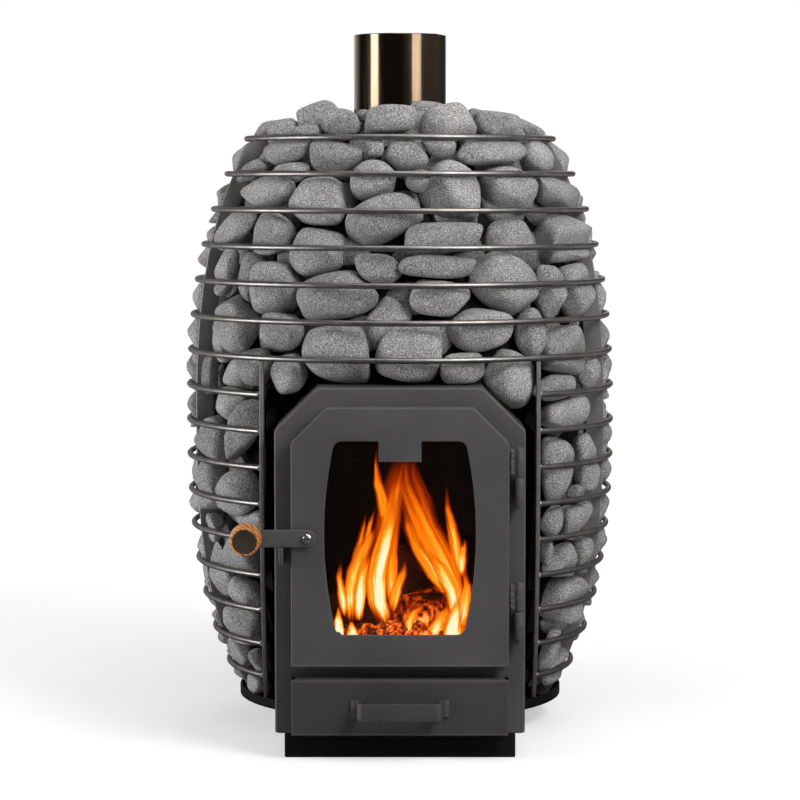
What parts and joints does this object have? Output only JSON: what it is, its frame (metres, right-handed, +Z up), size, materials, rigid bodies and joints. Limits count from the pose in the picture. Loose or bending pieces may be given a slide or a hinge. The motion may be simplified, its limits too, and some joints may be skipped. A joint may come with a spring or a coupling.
{
  "type": "wood-fired sauna heater",
  "caption": "Wood-fired sauna heater: barrel cage of steel rods full of stones around a steel firebox with a glazed hinged door, lever latch, ash drawer and flue pipe.",
  "frame": {"origin": "on the floor, under the axis of the stone cage and flue", "axes": "+Z up along the flue, -Y to the front where the door is, +X to the right as seen from the front"},
  "size_m": [0.535, 0.6113, 0.853],
  "materials": {
    "black_steel": "matt dark grey heat-proof paint",
    "dark_steel": "matt black paint",
    "rod_steel": "drawn rod, satin",
    "rib_steel": "plain plate, satin",
    "flue_steel": "dark polished, heat tinted",
    "bright_steel": "bright",
    "cast_iron": "rough",
    "stone": "tumbled speckled grey",
    "sealing_rope": "woven glass fibre",
    "stove_glass": "clear heat-proof glass",
    "knob_wood": "oiled",
    "disc_bronze": "dark satin",
    "charred_wood": "charred"
  },
  "bodies": {
    "stove": {"cage_ring_01": "rod_steel", "cage_ring_02": "rod_steel", "cage_ring_03": "rod_steel", "cage_ring_04": "rod_steel", "cage_ring_05": "rod_steel", "cage_ring_06": "rod_steel", "cage_ring_07": "rod_steel", "cage_ring_08": "rod_steel", "cage_ring_09": "rod_steel", "cage_ring_10": "rod_steel", "cage_ring_11": "rod_steel", "cage_ring_12": "rod_steel", "cage_ring_13": "rod_steel", "cage_ring_14": "rod_steel", "cage_ring_15": "rod_steel", "cage_ring_16": "rod_steel", "cage_rib_right_side": "rib_steel", "cage_rib_right_rear": "rib_steel", "cage_rib_left_rear": "rib_steel", "cage_rib_left_side": "rib_steel", "opening_bar_left": "rib_steel", "opening_bar_right": "rib_steel", "stones_left": "stone", "stones_right": "stone", "stones_top": "stone", "stone_tray": "dark_steel", "plinth": "dark_steel", "hearth_plate": "dark_steel", "smoke_baffle": "dark_steel", "flue_collar": "dark_steel", "firebox_shell": "black_steel", "front_frame": "black_steel", "rear_plate": "black_steel", "hinge_upper_frame_knuckle": "black_steel", "hinge_lower_frame_knuckle": "black_steel", "latch_keeper": "black_steel", "grate": "cast_iron", "flue_pipe": "flue_steel", "log_front": "charred_wood", "log_rear": "charred_wood", "log_top": "charred_wood", "hinge_upper_pin": "bright_steel", "hinge_lower_pin": "bright_steel"},
    "door": {"door_panel": "black_steel", "door_glass": "stove_glass", "glass_gasket": "sealing_rope", "glass_clip_left": "dark_steel", "glass_clip_right": "dark_steel", "door_rope_seal": "sealing_rope", "hinge_upper_door_knuckle": "black_steel", "hinge_lower_door_knuckle": "black_steel", "latch_pivot_screw": "bright_steel"},
    "latch": {"latch_lever": "black_steel", "latch_knob": "knob_wood", "knob_disc": "disc_bronze"},
    "drawer": {"ash_pan": "dark_steel", "drawer_front": "black_steel", "drawer_handle": "black_steel"}
  },
  "joints": [
    {"name": "door_hinge", "type": "hinge", "parent": "stove", "child": "door", "pos_m": [0.138, -0.295, 0.2618], "axis": [0, 0, 1], "range_deg": [0, 120]},
    {"name": "latch_pivot", "type": "hinge", "parent": "door", "child": "latch", "pos_m": [-0.107, -0.311, 0.2618], "axis": [0, 1, 0], "range_deg": [0, 50]},
    {"name": "drawer_slide", "type": "slide", "parent": "stove", "child": "drawer", "axis": [0, -1, 0], "range_m": [0, 0.28]}
  ]
}
